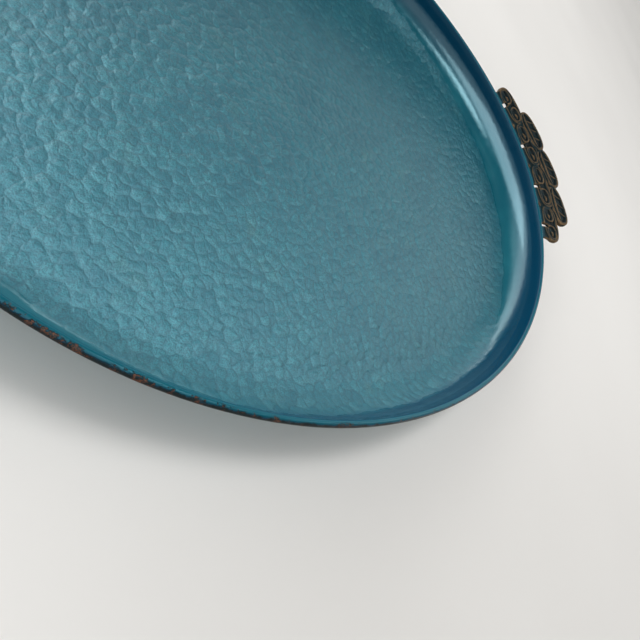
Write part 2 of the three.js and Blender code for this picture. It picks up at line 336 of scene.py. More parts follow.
def build_wire(material):
    """The steel wire inside the rolled edge."""
    angle = np.linspace(0, 2 * math.pi, WIRE_STEPS, endpoint=False)
    vertices, rings = [], []
    for outward, height in arc((0.0, BEAD_HEIGHT), WIRE_RADIUS, 0, 2 * math.pi, WIRE_SIDES)[:-1]:
        rings.append(np.arange(len(angle)) + len(angle) * len(rings))
        vertices.append(np.column_stack([rim_place(angle, np.full(len(angle), outward)),
                                         np.full(len(angle), height)]))
    faces = []
    for first, second in zip(rings, rings[1:] + rings[:1]):
        faces += strip(second, first)
    return make_object("rim_wire_steel", np.concatenate(vertices), faces, material)


# ---------------------------------------------------------------- the handle casting, drawn flat

def oval(along, out, half_length, half_width, lean=0.0, sides=48):
    """An oval with fuller corners than an ellipse, leaning outwards along the rim."""
    fullness = 2 / OVAL_POWER
    angle = np.linspace(0, 2 * math.pi, sides, endpoint=False)
    c, s = np.cos(angle), np.sin(angle)
    x = half_length * np.sign(c) * np.abs(c) ** fullness
    y = half_width * np.sign(s) * np.abs(s) ** fullness
    return np.stack([along + x * math.cos(lean) - y * math.sin(lean),
                     out + x * math.sin(lean) + y * math.cos(lean)], -1)


def inset_oval(leaf, inset):
    """A leaf's oval, drawn in by a distance all round."""
    smaller = {"half_length": leaf["half_length"] - inset, "half_width": leaf["half_width"] - inset}
    return oval(**{**leaf, **smaller})


def pad(outline, bottom, profile):
    """A closed solid on an outline. profile gives its top from the middle (0) to the edge (1)."""
    middle = outline.mean(0)
    count = len(outline)
    rings = [np.column_stack([middle + (outline - middle) * t, np.full(count, profile(t))])
             for t in PAD_RINGS]
    vertices = [np.column_stack([outline, np.full(count, bottom)]), *rings, [[*middle, profile(0.0)]]]
    faces = [tuple(range(count))[::-1]]
    for ring in range(len(rings)):
        first = np.arange(count) + ring * count
        faces += [(a, b, d, c) for a, b, c, d in
                  zip(first, np.roll(first, -1), first + count, np.roll(first + count, -1))]
    last = np.arange(count) + len(rings) * count
    faces += [(a, b, last[-1] + 1) for a, b in zip(last, np.roll(last, -1))]
    return np.concatenate(vertices), faces


def tube(path, radius, closed=False, sides=10):
    """A round rod along a path, with a radius at each point; its ends are closed."""
    path = np.asarray(path, dtype=float)
    radius = np.broadcast_to(radius, len(path))
    if closed:
        ahead, behind = np.roll(path, -1, 0), np.roll(path, 1, 0)
    else:
        ahead, behind = np.vstack([path[1:], path[-1:]]), np.vstack([path[:1], path[:-1]])
    forward = ahead - behind
    forward /= np.linalg.norm(forward, axis=1, keepdims=True)
    sideways = np.cross(forward, (0, 0, 1.0))
    sideways /= np.linalg.norm(sideways, axis=1, keepdims=True)
    upwards = np.cross(sideways, forward)
    angle = np.linspace(0, 2 * math.pi, sides, endpoint=False)
    across = np.cos(angle)[None, :, None] * sideways[:, None]
    above = np.sin(angle)[None, :, None] * upwards[:, None]
    rings = path[:, None] + radius[:, None, None] * (across + above)
    index = np.arange(len(path) * sides).reshape(len(path), sides)
    faces = []
    following = list(zip(index, np.roll(index, -1, 0))) if closed else list(zip(index[:-1], index[1:]))
    for first, second in following:
        faces += [(a, b, d, c) for a, b, c, d in
                  zip(first, np.roll(first, -1), second, np.roll(second, -1))]
    if not closed:
        faces += [tuple(index[0][::-1]), tuple(index[-1])]
    return rings.reshape(-1, 3), faces


def at_height(outline, height):
    """An outline's points with a height added."""
    return np.column_stack([outline, np.broadcast_to(height, len(outline))])


def leaf_points(leaf, along, out, height):
    """Points given in a leaf's own lengths (-1 to 1 each way), placed in the flat casting."""
    x = np.asarray(along) * leaf["half_length"]
    y = np.asarray(out) * leaf["half_width"]
    c, s = math.cos(leaf["lean"]), math.sin(leaf["lean"])
    return np.column_stack([leaf["along"] + x * c - y * s, leaf["out"] + x * s + y * c,
                            np.broadcast_to(height, x.shape)])


def inner_leaf(along):
    """A leaf over two leaflets: a hollowed plate, a rolled border and two ringed pods with a seed."""
    at_end = abs(along) > 2 * LEAFLET_PITCH
    trim = END_TRIM / 2 if at_end else 0.0
    leaf = {**INNER_LEAF, "along": along - math.copysign(trim, along),
            "half_length": INNER_LEAF["half_length"] - trim}
    outline = oval(**leaf)
    border = inset_oval(leaf, INNER_BORDER["inset"])
    swell = 0.35 * smoothstep(-0.4, 0.9, np.sin(np.linspace(0, 2 * math.pi, len(border)) + 0.35))
    parts = [
        pad(outline, -PLATE_BELOW, lambda t: 0.2 + 0.3 * (1 - t * t)),
        tube(at_height(border, INNER_BORDER["height"]), INNER_BORDER["radius"] + swell, closed=True),
    ]
    shorter = leaf["half_length"] / INNER_LEAF["half_length"]
    for side in (-1, 1):
        pod = {"along": leaf["along"] + side * shorter * LEAFLET_PITCH / 2,
               "out": leaf["out"] + side * POD["stagger"], "lean": leaf["lean"],
               "half_length": POD["half_length"] * shorter, "half_width": POD["half_width"]}
        ring = oval(**pod)
        lift = POD["ring_height"] + 0.25 * np.cos(np.linspace(0, 2 * math.pi, len(ring)) - 0.6)
        parts.append(tube(at_height(ring, lift), POD["ring_radius"], closed=True))
        seed = leaf_points(pod, np.linspace(-0.15, 0.62, 7), np.linspace(-0.12, 0.1, 7), SEED_HEIGHT)
        parts.append(tube(seed, SEED_RADIUS * np.sin(np.linspace(0.35, 2.8, 7)) + 0.1))
    return parts


def outer_leaf(along, out):
    """A leaf with a thick border, a midrib near its inner side and veins from it to the border."""
    leaf = {**OUTER_LEAF, "along": along, "out": out}
    outline = oval(**leaf)
    border = inset_oval(leaf, OUTER_BORDER["inset"])
    radius = OUTER_BORDER["radius"]
    top = PLATE_ABOVE + OUTER_RAISE
    along_turn = np.cos(np.linspace(0, 2 * math.pi, len(border), endpoint=False))
    parts = [
        pad(outline, -PLATE_BELOW, lambda t: 0.5 + 0.5 * (1 - t * t)),
        tube(at_height(border, top - radius + 0.3 * along_turn), radius, closed=True),
    ]
    t = np.linspace(-1, 1, 15)
    rib = leaf_points(leaf, 0.93 * t, -0.34 - 0.16 * t + 0.22 * t * t, top - 0.85 + 0.25 * t)
    parts.append(tube(rib, RIB_RADIUS - 0.45 * np.abs(t)))
    for start in VEIN_STARTS:
        s = np.linspace(0, 1, 6)
        vein = leaf_points(leaf, start + 0.34 * s, -0.3 + 1.05 * s, top - 1.15 + 0.25 * s)
        parts.append(tube(vein, VEIN_RADIUS - 0.16 * s))
    return parts


def wall_outer_face(height):
    """How far out the wall's outer face is at a height."""
    return WALL_TOP[0] + SHEET / math.cos(WALL_FLARE) - (WALL_TOP[1] - height) * math.tan(WALL_FLARE)


def beside_wall(height):
    """The wall's outer face and a clearance, at a height from the bead's centre."""
    return wall_outer_face(BEAD_HEIGHT + height) + CLEARANCE


def foot(middle):
    """A foot from under the plate, round the bead and down the outside of the wall."""
    bottom = PLATE_DROP - FOOT["bottom"]
    outside = [(beside_wall(-FOOT["bottom"]), bottom), (FOOT["toe"], bottom),
               (FOOT["reach"], PLATE_DROP - PLATE_BELOW), (FOOT["reach"], FOOT["crown"]),
               (TAB_START, FOOT["crown"])]
    round_bead = arc((0, PLATE_DROP), BEAD_RADIUS + CLEARANCE, *FOOT_ARC, 8)
    section = np.array([*outside, *round_bead, (beside_wall(-FOOT["top"]), PLATE_DROP - FOOT["top"])])
    half = FOOT["length"] / 2
    ends = [np.column_stack([np.full(len(section), middle + side), section]) for side in (-half, half)]
    count = len(section)
    first, second = np.arange(count), np.arange(count) + count
    faces = [tuple(first), tuple(second[::-1])]
    faces += [(a, c, d, b) for a, b, c, d in zip(first, np.roll(first, -1), second, np.roll(second, -1))]
    return np.concatenate(ends), faces


def tab(start, end, near):
    """A crowned tab between two notches, from the bead to the leaves."""
    corner, bevel = TAB_CORNER, TAB_CORNER * 0.3
    outline = np.array([(start, TAB_END), (start, near + corner), (start + bevel, near + bevel),
                        (start + corner, near), (end - corner, near), (end - bevel, near + bevel),
                        (end, near + corner), (end, TAB_END)])
    return pad(outline, -1.3, lambda t: 0.75 + 0.35 * (1 - t ** 4))


def spread(count, pitch):
    """The middles of things that repeat, evenly about the casting's centre."""
    return (np.arange(count) - (count - 1) / 2) * pitch


def casting_parts():
    """Every solid of the flat casting, before they are fused."""
    end = LEAFLETS * LEAFLET_PITCH / 2 - END_TRIM
    half = (LEAFLET_PITCH - NOTCH_WIDTH) / 2
    parts = []
    for along in spread(LEAFLETS, LEAFLET_PITCH):
        parts.append(tab(max(along - half, -end), min(along + half, end), TAB_START))
        parts.append(foot(along))
    for along in spread(LEAFLETS // 2, 2 * LEAFLET_PITCH):
        parts += inner_leaf(along)
    for along in spread(LEAFLETS // 2 - 1, 2 * LEAFLET_PITCH):
        parts.append(tab(along - NOTCH_WIDTH, along + NOTCH_WIDTH, NOTCH_BETWEEN_LEAVES))
    for place in OUTER_LEAVES:
        parts += outer_leaf(*place)
    return parts


def evaluated(source):
    """The vertices and faces of an object with its modifiers applied."""
    graph = bpy.context.evaluated_depsgraph_get()
    mesh = bpy.data.meshes.new_from_object(source.evaluated_get(graph))
    points = np.empty(len(mesh.vertices) * 3)
    mesh.vertices.foreach_get("co", points)
    faces = [tuple(polygon.vertices) for polygon in mesh.polygons]
    bpy.data.meshes.remove(mesh)
    return points.reshape(-1, 3), faces


def notch_parts():
    """The slots along the rim that are open right through: deep inside a leaf, shallow between two."""
    half = NOTCH_WIDTH / 2
    bottom, top = NOTCH_CUT
    parts = []
    for i, along in enumerate(spread(LEAFLETS - 1, LEAFLET_PITCH)):
        depth = NOTCH_WITHIN_LEAF if i % 2 == 0 else NOTCH_BETWEEN_LEAVES
        outline = np.array([(along - half, NOTCH_START), (along + half, NOTCH_START),
                            (along + half, depth - half * 0.6), (along + half * 0.5, depth),
                            (along - half * 0.5, depth), (along - half, depth - half * 0.6)])
        parts.append(pad(outline, bottom, lambda t: top))
    return parts


def solid_object(name, parts):
    """One object from several closed parts, in millimetres."""
    vertices, faces, total = [], [], 0
    for points, polygons in parts:
        vertices.append(points)
        faces += [tuple(int(i) + total for i in polygon) for polygon in polygons]
        total += len(points)
    mesh = bpy.data.meshes.new(name)
    mesh.from_pydata(np.concatenate(vertices).tolist(), [], faces)
    made = bpy.data.objects.new(name, mesh)
    bpy.context.scene.collection.objects.link(made)
    return made


def fused(parts, cuts):
    """The parts as one skin: voxel remeshed, cut through and smoothed, in millimetres."""
    source = solid_object("casting_parts", parts)
    cutter = solid_object("casting_cuts", cuts)
    for step in ("fuse", "cut", "fuse again"):
        if step == "cut":
            cut = source.modifiers.new(step, "BOOLEAN")
            cut.operation = "DIFFERENCE"
            cut.object = cutter
        else:
            remesh = source.modifiers.new(step, "REMESH")
            remesh.mode = "VOXEL"
            remesh.voxel_size = CAST_VOXEL
    smooth = source.modifiers.new("soften", "SMOOTH")
    smooth.factor = 0.5
    smooth.iterations = 2
    result = evaluated(source)
    for made in (source, cutter):
        mesh = made.data
        bpy.data.objects.remove(made)
        bpy.data.meshes.remove(mesh)
    return result


def neighbour_mean(values, edges, degree):
    """Each vertex's mean over its neighbours."""
    total = np.zeros_like(values)
    np.add.at(total, edges[:, 0], values[edges[:, 1]])
    np.add.at(total, edges[:, 1], values[edges[:, 0]])
    return total / degree


def edge_list(faces):
    """Each edge of some faces, once."""
    pairs = {(min(a, b), max(a, b)) for face in faces for a, b in zip(face, face[1:] + face[:1])}
    return np.array(sorted(pairs))


def face_normals_at_vertices(vertices, faces):
    """A unit normal for each vertex."""
    normals = np.zeros_like(vertices)
    for face in faces:
        a, b, c = vertices[face[0]], vertices[face[1]], vertices[face[2]]
        normals[list(face)] += np.cross(b - a, c - a)
    return normals / np.maximum(np.linalg.norm(normals, axis=1, keepdims=True), 1e-9)


def raised(vertices, faces, rounds=14):
    """How far each vertex stands out of its smoothed surroundings: worn high spots, and hollows for painted
    shade.
    """
    edges = edge_list(faces)
    degree = np.bincount(edges.ravel(), minlength=len(vertices)).reshape(-1, 1)
    smooth = vertices
    for _ in range(rounds):
        smooth = neighbour_mean(smooth, edges, degree)
    normals = face_normals_at_vertices(vertices, faces)
    return np.sum((vertices - smooth) * normals, -1)


def bend_to_rim(points, turn):
    """Bends flat points to the rim and tilts them up, as the CAD part does, at either end."""
    rise = math.tan(HANDLE_TILT) * np.maximum(0, points[:, 1] - TAB_START)
    xy = rim_place(-points[:, 0] / RIM_HALF_WIDTH, points[:, 1])
    c, s = math.cos(turn), math.sin(turn)
    return np.column_stack([xy[:, 0] * c - xy[:, 1] * s, xy[:, 0] * s + xy[:, 1] * c,
                            BEAD_HEIGHT - PLATE_DROP + points[:, 2] + rise])


def build_handles(material):
    """Both castings, from one flat model."""
    vertices, faces = fused(casting_parts(), notch_parts())
    attributes = {"raised": raised(vertices, faces), "outwards": vertices[:, 1], "height": vertices[:, 2]}
    return [make_object(f"handle_{side}_cast", bend_to_rim(vertices, turn), faces, material, attributes)
            for side, turn in (("right", 0.0), ("left", math.pi))]


def build_braze(side, turn, number, middle, material):
    """A run of braze in the corner between the wall and the underside of a foot."""
    rng = np.random.default_rng(SEED + number)
    top = PLATE_DROP - FOOT["bottom"] - CLEARANCE
    s = np.linspace(0, 1, 6)[:, None]
    rings = []
    for t in np.linspace(-1, 1, 9):
        size = (1 - 0.55 * t ** 4) * rng.uniform(0.9, 1.06)
        low = top - BRAZE["height"] * size
        wall_low, wall_top = beside_wall(low - PLATE_DROP), beside_wall(top - PLATE_DROP)
        corner = np.array([wall_top + BRAZE["hollow"], top - BRAZE["hollow"]])
        start, end = np.array([wall_low, low]), np.array([wall_top + BRAZE["leg"] * size, top])
        curve = start * (1 - s) ** 2 + corner * 2 * s * (1 - s) + end * s ** 2
        section = np.vstack([curve, (wall_top, top)])
        rings.append(np.column_stack([np.full(len(section), middle + t * FOOT["length"] / 2), section]))
    index = np.arange(len(rings) * len(rings[0])).reshape(len(rings), -1)
    faces = [tuple(index[0][::-1]), tuple(index[-1])]
    for first, second in zip(index[:-1], index[1:]):
        faces += [(a, b, d, c) for a, b, c, d in
                  zip(first, np.roll(first, -1), second, np.roll(second, -1))]
    points = bend_to_rim(np.concatenate(rings), turn)
    return make_object(f"braze_{side}_{number}_run", points, faces, material)


# ---------------------------------------------------------------- materials

def new_material(name):
    """A material with an empty Principled shader, and its node tree."""
    material = bpy.data.materials.new(name)
    material.use_nodes = True
    return material, material.node_tree, material.node_tree.nodes["Principled BSDF"]


def add(tree, kind, inputs=None, **settings):
    """Adds a shader node. An input is a value, or the socket of another node to join to it."""
    made = tree.nodes.new("ShaderNode" + kind)
    for key, value in settings.items():
        setattr(made, key, value)
    for key, value in (inputs or {}).items():
        if isinstance(value, bpy.types.NodeSocket):
            tree.links.new(value, made.inputs[key])
        else:
            made.inputs[key].default_value = value
    return made


def attribute(tree, name):
    """A point attribute of the mesh, as a number."""
    return add(tree, "Attribute", attribute_name=name).outputs["Fac"]


def grain(tree, scale, detail=3.0, roughness=0.55):
    """Noise of a size, in object space: scale is features per metre."""
    place = add(tree, "TexCoord").outputs["Object"]
    return add(tree, "TexNoise", {"Vector": place, "Scale": scale, "Detail": detail,
                                  "Roughness": roughness}).outputs["Fac"]


def ranged(tree, value, low, high, to_low=0.0, to_high=1.0):
    """A value moved from one range to another, with soft ends."""
    return add(tree, "MapRange", {"Value": value, "From Min": low, "From Max": high, "To Min": to_low,
                                  "To Max": to_high}, interpolation_type="SMOOTHSTEP").outputs["Result"]


def maths(tree, operation, first, second):
    """Two numbers put together."""
    return add(tree, "Math", {0: first, 1: second}, operation=operation).outputs["Value"]


def blend(tree, factor, first, second):
    """Two colours mixed by a factor."""
    return add(tree, "Mix", {0: factor, 6: first, 7: second}, data_type="RGBA").outputs[2]


def bump(tree, height, strength, distance):
    """A bump normal from a height."""
    inputs = {"Height": height, "Strength": strength, "Distance": distance}
    return add(tree, "Bump", inputs).outputs["Normal"]


def finish_shader(tree, shader, colour, rough, metal, normal):
    """Joins the usual four inputs of a Principled shader."""
    inputs = {"Base Color": colour, "Roughness": rough, "Metallic": metal, "Normal": normal}
    for key, value in inputs.items():
        if isinstance(value, bpy.types.NodeSocket):
            tree.links.new(value, shader.inputs[key])
        elif value is not None:
            shader.inputs[key].default_value = value


GLAZE_DEEP = (0.004, 0.100, 0.142, 1)
GLAZE_MID = (0.010, 0.135, 0.178, 1)
GLAZE_GREEN = (0.060, 0.180, 0.175, 1)
GLAZE_TOP = (0.030, 0.185, 0.225, 1)
# The glaze's darkest tone, on specks, glazed tabs and braze; in the floor's creases it is also painted shade.
GLAZE_DARK_AND_CREASE_SHADE = (0.001, 0.052, 0.082, 1)
WALL_SHADE_NAVY = (0.0005, 0.040, 0.085, 1)
GLAZE_SHEEN = (0.54, 0.90, 1.0, 1)
CHIP_BROWN = (0.130, 0.042, 0.016, 1)
# Dark bare metal in the chips; on the roll's outer side it is also painted shade.
DARK_METAL_AND_LIP_SHADE = (0.005, 0.007, 0.007, 1)
PIT_BROWN = (0.030, 0.026, 0.012, 1)
PITS_PER_METRE = 17.0
PIT_SIZE = 0.0011
WALL_SHADE_HEIGHTS = (0.008, 0.017)
ROUGH_SMOOTH = 0.16
ROUGH_MARKED = 0.40
GLOSS_INSIDE = 0.8
GLOSS_WALL = 0.15


def hammer_field(tree, place):
    """Hammered cells: the height of their domes, how near their creases are and a number for each cell."""
    flat = add(tree, "VectorMath", {0: place, 1: (1, 1, 0)}, operation="MULTIPLY").outputs["Vector"]
    flat = add(tree, "VectorMath", {0: flat, 1: (1 / (MARK_PITCH * MM),) * 3}, operation="MULTIPLY")
    warp = add(tree, "TexNoise", {"Vector": flat.outputs["Vector"], "Scale": 1.0, "Detail": 2.5})
    shift = add(tree, "VectorMath", {0: warp.outputs["Color"], 1: (2 * MARK_BEND, 2 * MARK_BEND, 0)},
                operation="MULTIPLY").outputs["Vector"]
    joined = add(tree, "VectorMath", {0: flat.outputs["Vector"], 1: shift}, operation="ADD").outputs["Vector"]
    cell = {"Vector": joined, "Scale": 1.0, "Randomness": MARK_SPREAD}
    flat_cells = {"voronoi_dimensions": "2D"}
    near = add(tree, "TexVoronoi", cell, **flat_cells)
    rounded = {**cell, "Smoothness": 0.4}
    soft = add(tree, "TexVoronoi", rounded, feature="SMOOTH_F1", **flat_cells)
    small = add(tree, "TexVoronoi", {**rounded, "Scale": 2.1}, feature="SMOOTH_F1", **flat_cells)
    edge = add(tree, "TexVoronoi", cell, feature="DISTANCE_TO_EDGE", **flat_cells).outputs["Distance"]
    number = add(tree, "SeparateXYZ", {0: near.outputs["Color"]}).outputs["X"]
    dome = maths(tree, "SUBTRACT", 1.0, maths(tree, "POWER", soft.outputs["Distance"], 2.0))
    level = maths(tree, "ADD", 0.78, maths(tree, "MULTIPLY", number, 0.36))
    height = maths(tree, "MULTIPLY", maths(tree, "MULTIPLY", dome, level), 0.8)
    lumps = maths(tree, "SUBTRACT", 0.30, maths(tree, "MULTIPLY", small.outputs["Distance"], 0.30))
    pillow = ranged(tree, edge, -0.10, 0.20, 0.0, 0.12)
    height = maths(tree, "ADD", maths(tree, "ADD", height, lumps), pillow)
    return {"height": height, "edge": edge, "number": number}


def pit_mask(tree, scale, size):
    """Small scattered spots where the glaze has crawled away."""
    place = add(tree, "TexCoord").outputs["Object"]
    flat = add(tree, "VectorMath", {0: place, 1: (1, 1, 0)}, operation="MULTIPLY").outputs["Vector"]
    warp = add(tree, "TexNoise", {"Vector": flat, "Scale": 700.0, "Detail": 2.0})
    shifted = add(tree, "VectorMath", {0: warp.outputs["Color"], 1: (0.0012, 0.0012, 0)},
                  operation="MULTIPLY").outputs["Vector"]
    joined = add(tree, "VectorMath", {0: flat, 1: shifted}, operation="ADD").outputs["Vector"]
    cells = add(tree, "TexVoronoi", {"Vector": joined, "Scale": scale, "Randomness": 1.0})
    return ranged(tree, cells.outputs["Distance"], size * scale, size * scale * 0.45)


def mottled_glaze(tree, field, marked, fine, speck):
    """The glaze's teal: paler on some marks, greenish in patches, darker in the creases (pooled glaze and
    painted shade) and speckled.
    """
    colour = blend(tree, ranged(tree, grain(tree, 22.0, 4.0), 0.35, 0.68), GLAZE_DEEP, GLAZE_MID)
    tone = maths(tree, "MULTIPLY", ranged(tree, field["number"], 0.1, 0.9),
                 ranged(tree, fine, 0.3, 0.7, 0.2, 0.8))
    colour = blend(tree, maths(tree, "MULTIPLY", tone, marked), colour, GLAZE_TOP)
    green = maths(tree, "MULTIPLY", ranged(tree, grain(tree, 38.0, 5.0, 0.65), 0.54, 0.80, 0.0, 0.7), marked)
    colour = blend(tree, green, colour, GLAZE_GREEN)
    # Creases between the hammer marks: darker glaze pooled there, deepened with painted shade.
    crease_shade = maths(tree, "MULTIPLY", ranged(tree, field["edge"], 0.20, 0.0, 0.0, 0.7),
                   ranged(tree, fine, 0.36, 0.62, 0.1, 1.0))
    colour = blend(tree, maths(tree, "MULTIPLY", crease_shade, marked), colour, GLAZE_DARK_AND_CREASE_SHADE)
    speckle = maths(tree, "MULTIPLY", ranged(tree, speck, 0.44, 0.60, 0.0, 0.8), marked)
    return blend(tree, speckle, colour, GLAZE_DARK_AND_CREASE_SHADE)


def worn_rim(tree, colour, bead, speck):
    """The rolled edge, dark past its crown (worn dark metal, with painted shade on its outer side) and
    chipped to rust: its colour and how worn it is.
    """
    chipped = attribute(tree, "chipped")
    ragged = maths(tree, "MULTIPLY", maths(tree, "SUBTRACT", grain(tree, 260.0, 4.0, 0.7), 0.5), 0.4)
    ragged = maths(tree, "ADD", maths(tree, "ADD", bead, ragged), maths(tree, "MULTIPLY", chipped, 0.08))
    # Past the crown the roll is painted near-black: worn dark metal and painted shade under the edge.
    lip_wear_and_shade = ranged(tree, ragged, 0.43, 0.53)
    colour = blend(tree, lip_wear_and_shade, colour, DARK_METAL_AND_LIP_SHADE)
    outside = ranged(tree, ragged, 0.30, 0.40)
    spots = maths(tree, "ADD", grain(tree, 210.0, 4.0, 0.75), maths(tree, "MULTIPLY", chipped, 0.1))
    chips = maths(tree, "MULTIPLY", outside, ranged(tree, spots, 0.63, 0.70))
    bare = blend(tree, ranged(tree, speck, 0.45, 0.58), DARK_METAL_AND_LIP_SHADE, CHIP_BROWN)
    return blend(tree, chips, colour, bare), maths(tree, "MAXIMUM", chips, maths(tree, "MULTIPLY", lip_wear_and_shade, 0.6))


def glaze_material(name, gloss):
    """Baked teal glaze: satin and mottled on the hammered floor, smooth up the wall, where painted shade
    turns it navy.
    """
    material, tree, shader = new_material(name)
    marked = attribute(tree, "marked")
    bead = attribute(tree, "bead")
    inside = ranged(tree, attribute(tree, "under"), 0.5, 0.4)
    fine = grain(tree, 160.0, 4.0, 0.6)
    speck = grain(tree, 1500.0, 3.0, 0.7)
    place = add(tree, "TexCoord").outputs["Object"]
    height = add(tree, "SeparateXYZ", {0: place}).outputs["Z"]
    field = hammer_field(tree, place)

    colour = mottled_glaze(tree, field, marked, fine, speck)
    # Painted shade: the glaze turns navy up the wall, from the cove towards the rim.
    wall_shade = maths(tree, "MULTIPLY", ranged(tree, height, *WALL_SHADE_HEIGHTS), inside)
    colour = blend(tree, wall_shade, colour, WALL_SHADE_NAVY)
    crest = maths(tree, "MULTIPLY", ranged(tree, bead, 0.05, 0.16), ranged(tree, bead, 0.45, 0.30))
    colour = blend(tree, crest, colour, GLAZE_DEEP)
    flat = maths(tree, "MULTIPLY", ranged(tree, bead, 0.02, 0.0), inside)
    pits = maths(tree, "MULTIPLY", pit_mask(tree, PITS_PER_METRE, PIT_SIZE), flat)
    colour = blend(tree, pits, colour, PIT_BROWN)
    colour, worn = worn_rim(tree, colour, bead, speck)

    worn = maths(tree, "MAXIMUM", worn, pits)
    rough = maths(tree, "ADD", ranged(tree, marked, 0.0, 1.0, ROUGH_SMOOTH, ROUGH_MARKED),
                  maths(tree, "MULTIPLY", worn, 0.3))
    rough = maths(tree, "ADD", rough, ranged(tree, fine, 0.3, 0.7, -0.03, 0.05))
    depth = maths(tree, "MULTIPLY", field["height"], marked)
    depth = maths(tree, "ADD", depth, maths(tree, "MULTIPLY", fine, 0.25))
    depth = maths(tree, "SUBTRACT", depth, worn)
    depth = maths(tree, "ADD", depth, maths(tree, "MULTIPLY", maths(tree, "MULTIPLY", speck, marked), 0.30))
    finish_shader(tree, shader, colour, rough, 0.0, bump(tree, depth, 1.0, 0.0006))
    shader.inputs["Specular IOR Level"].default_value = gloss
    shader.inputs["Specular Tint"].default_value = GLAZE_SHEEN
    return material


CAST_HOLLOW_SHADE = (0.0008, 0.004, 0.005, 1)
CAST_TEAL = (0.0015, 0.015, 0.019, 1)
CAST_BROWN = (0.075, 0.052, 0.028, 1)
CAST_COPPER = (0.180, 0.115, 0.060, 1)


def casting_material():
    """Cast bronze under worn glaze: teal glaze in the hollows, painted shade darkening the deepest ones,
    copper-brown edges, glazed tabs at the rim.
    """
    material, tree, shader = new_material("aged_cast_bronze")
    high = attribute(tree, "raised")
    outwards = attribute(tree, "outwards")
    broad = grain(tree, 120.0, 4.0, 0.6)
    fine = grain(tree, 700.0, 4.0, 0.65)

    uneven = maths(tree, "MULTIPLY", maths(tree, "SUBTRACT", broad, 0.5), 0.5)
    edge = maths(tree, "ADD", high, uneven)
    # Painted shade: the deepest hollows go from the teal glaze to near-black.
    colour = blend(tree, ranged(tree, edge, -0.25, 0.06), CAST_HOLLOW_SHADE, CAST_TEAL)
    colour = blend(tree, ranged(tree, edge, 0.04, 0.18), colour, CAST_BROWN)
    copper = maths(tree, "MULTIPLY", ranged(tree, edge, 0.17, 0.36), ranged(tree, fine, 0.40, 0.62))
    colour = blend(tree, copper, colour, CAST_COPPER)
    reach = maths(tree, "ADD", outwards, maths(tree, "MULTIPLY", broad, 4.0))
    glazed = ranged(tree, reach, 8.6, 6.0)
    colour = blend(tree, glazed, colour, GLAZE_DARK_AND_CREASE_SHADE)

    metal = maths(tree, "MULTIPLY", copper, maths(tree, "SUBTRACT", 1.0, glazed))
    metal = maths(tree, "MULTIPLY", metal, 0.5)
    rough = ranged(tree, fine, 0.3, 0.7, 0.36, 0.6)
    depth = maths(tree, "ADD", fine, maths(tree, "MULTIPLY", broad, 0.8))
    finish_shader(tree, shader, colour, rough, metal, bump(tree, depth, 0.5, 0.0003))
    shader.inputs["Specular IOR Level"].default_value = 0.08
    return material


def braze_material():
    """A run of braze under the same glaze, a little rougher and patchy."""
    material, tree, shader = new_material("glazed_braze")
    broad = grain(tree, 240.0, 4.0, 0.6)
    fine = grain(tree, 1100.0, 3.0)
    colour = blend(tree, ranged(tree, broad, 0.38, 0.66), GLAZE_DARK_AND_CREASE_SHADE, GLAZE_DEEP)
    colour = blend(tree, ranged(tree, fine, 0.6, 0.75, 0.0, 0.8), colour, CHIP_BROWN)
    rough = ranged(tree, broad, 0.3, 0.7, 0.28, 0.45)
    finish_shader(tree, shader, colour, rough, 0.0, bump(tree, fine, 0.4, 0.0003))
    return material


def wire_material():
    """Drawn steel wire, dulled and lightly stained."""
    material, tree, shader = new_material("wire_steel")
    broad = grain(tree, 90.0, 4.0, 0.6)
    fine = grain(tree, 1500.0, 3.0)
    colour = blend(tree, ranged(tree, broad, 0.4, 0.7), (0.42, 0.43, 0.43, 1), (0.20, 0.14, 0.10, 1))
    finish_shader(tree, shader, colour, ranged(tree, broad, 0.3, 0.7, 0.3, 0.5), 1.0,
                  bump(tree, fine, 0.3, 0.0001))
    return material


# ---------------------------------------------------------------- camera, light and floor

CAMERA_PLACE = (-0.21275, -0.14812, 0.17787)
CAMERA_YAW = math.radians(78.6)
CAMERA_PITCH = math.radians(45.2)
CAMERA_ROLL = math.radians(67.5)
CAMERA_LENS = 27.056
LIGHTS_AWAY = 1.6
KEY_DIRECTION = (45, 72)
KEY_SIZE = (0.55, 0.55)
KEY_RADIANCE = 10.5
SHEEN_DIRECTION = (-2, 45)
SHEEN_SIZE = (0.7, 0.7)
SHEEN_RADIANCE = 3.7
NEAR_PLACE = (0.02, -0.11, 0.42)
NEAR_AIM = (-0.15, -0.12, 0.0)
NEAR_SIZE = (0.28, 0.25)
NEAR_RADIANCE = 8.5
PANEL_PLACE = (-0.84, 0.45, 0.42)
PANEL_AIM = (-0.84, 0.45, 0.0)
PANEL_SIZE = (1.6, 2.5)
PANEL_RADIANCE = 4.6
ROOM_SIDES = 0.58
ROOM_OVERHEAD = 0.12
ROOM_FAR = 2.4
ROOM_LOW = 1.3
DIM_QUARTER = (50, 43)
DIM_START = math.radians(32)
DIM_FULL = math.radians(14)
TABLE_HALF = 12000.0
TABLE_HEIGHT = -0.05
TABLE_DARKER = (0.775, 0.760, 0.735, 1)
TABLE_PALER = (0.81, 0.795, 0.77, 1)


